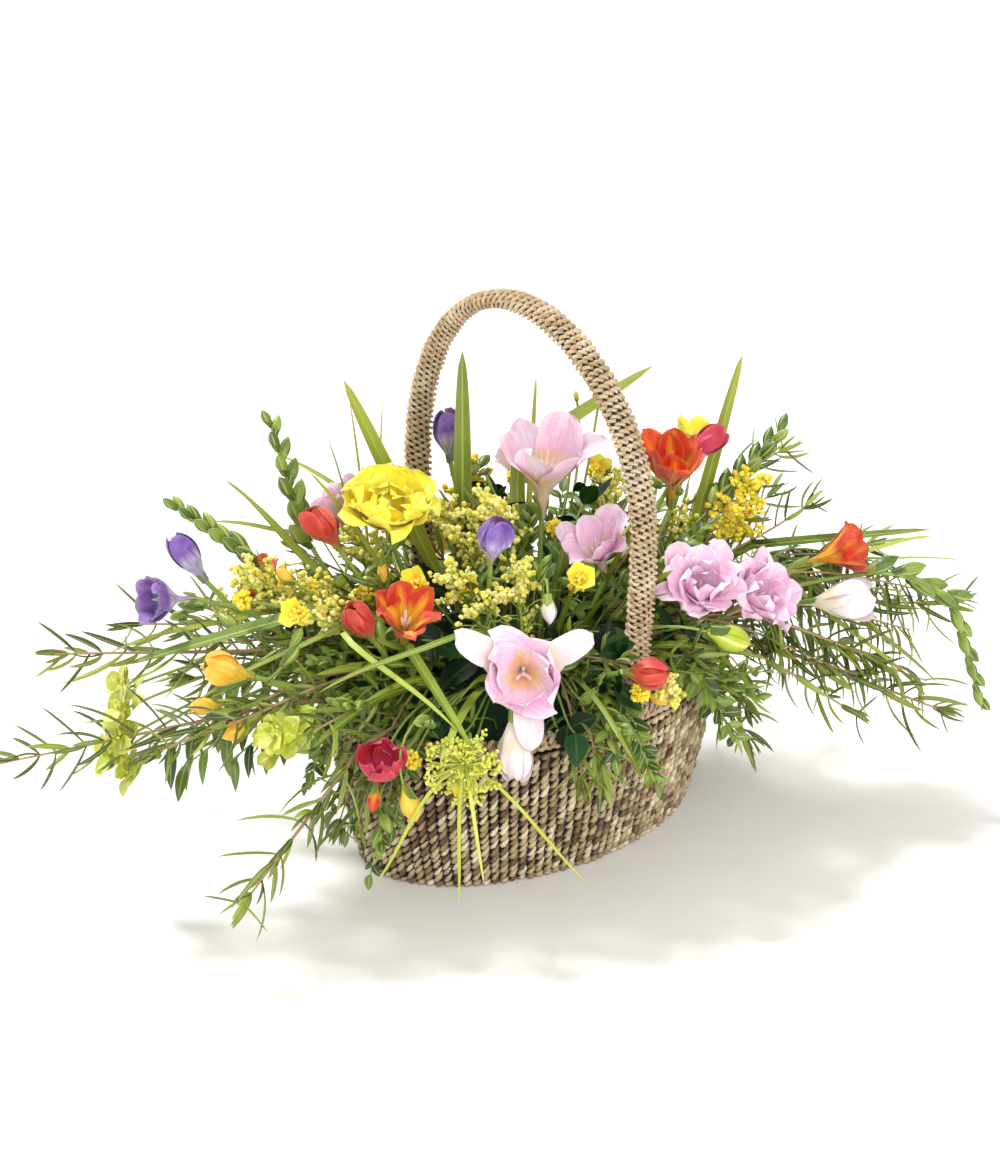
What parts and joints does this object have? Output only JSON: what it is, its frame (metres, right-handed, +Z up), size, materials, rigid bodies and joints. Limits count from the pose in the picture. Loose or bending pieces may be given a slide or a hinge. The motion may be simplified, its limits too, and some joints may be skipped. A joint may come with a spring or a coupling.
{
  "type": "flower basket arrangement",
  "caption": "Freesias, goldenrod, rosemary and grassy blades pushed into wet floral foam in an oval seagrass basket with a fixed hoop handle.",
  "frame": {"origin": "centre of the basket's underside, on the surface that it stands on", "axes": "+Z up; +X along the basket's long side; the handle spans the short side in the plane x = 0"},
  "size_m": [0.4893, 0.3241, 0.2778],
  "materials": {
    "seagrass": "matte twisted plant fibre",
    "wire": "plain drawn wire",
    "liner": "matte",
    "foam": "matte open-cell foam soaked in water",
    "petal_pink": "soft satin petal",
    "petal_pale_pink": "soft satin petal",
    "petal_yellow": "soft satin petal",
    "petal_red": "soft satin petal",
    "petal_orange": "soft satin petal",
    "petal_purple": "soft satin petal",
    "goldenrod": "powdery flower heads",
    "leaf": "waxy leaf",
    "rosemary": "leathery needle",
    "dill": "fine florets"
  },
  "bodies": {
    "root": {"basket_base": "seagrass", "basket_side": "seagrass", "basket_rim": "seagrass", "handle_wrapping": "seagrass", "handle_wire": "wire", "plastic_liner": "liner", "floral_foam": "foam", "pink_freesia_top": "petal_pink", "pink_freesia_centre": "petal_pink", "pink_freesia_right_inner": "petal_pink", "pink_freesia_right_outer": "petal_pink", "pink_freesia_front": "petal_pink", "pale_pink_bud_front": "petal_pale_pink", "pale_pink_bud_right": "petal_pale_pink", "yellow_freesia_large": "petal_yellow", "yellow_freesia_back": "petal_yellow", "yellow_bud_left": "petal_yellow", "orange_freesia_front": "petal_orange", "red_bud_front": "petal_red", "red_bud_left": "petal_red", "red_freesia_back": "petal_red", "magenta_bud_back": "petal_red", "orange_freesia_right": "petal_orange", "red_bud_handle": "petal_red", "red_freesia_low": "petal_red", "purple_freesia_left": "petal_purple", "purple_bud_left": "petal_purple", "purple_bud_centre": "petal_purple", "purple_bud_back": "petal_purple", "pink_freesia_rear_left": "petal_pink", "pink_freesia_rear_right": "petal_pink", "yellow_freesia_rear": "petal_yellow", "orange_freesia_rear": "petal_orange", "bud_spike_left": "leaf", "bud_spike_far_left": "leaf", "bud_spike_right": "leaf", "bud_spike_back_right": "leaf", "blade_upright": "leaf", "blade_left_back": "leaf", "blade_right_back": "leaf", "blade_behind_handle": "leaf", "blade_far_left": "leaf", "blade_front": "leaf", "blade_right": "leaf", "goldenrod_centre": "goldenrod", "goldenrod_top": "goldenrod", "goldenrod_right": "goldenrod", "goldenrod_left": "goldenrod", "goldenrod_rear": "goldenrod", "rosemary_left_long": "rosemary", "rosemary_left_upper": "rosemary", "rosemary_front_low": "rosemary", "rosemary_right_low": "rosemary", "rosemary_right": "rosemary", "rosemary_back_right": "rosemary", "rosemary_rear_right": "rosemary", "rosemary_rear_left": "rosemary", "box_sprig_front": "leaf", "box_sprig_front_right": "leaf", "dill_umbel": "dill"}
  },
  "joints": []
}
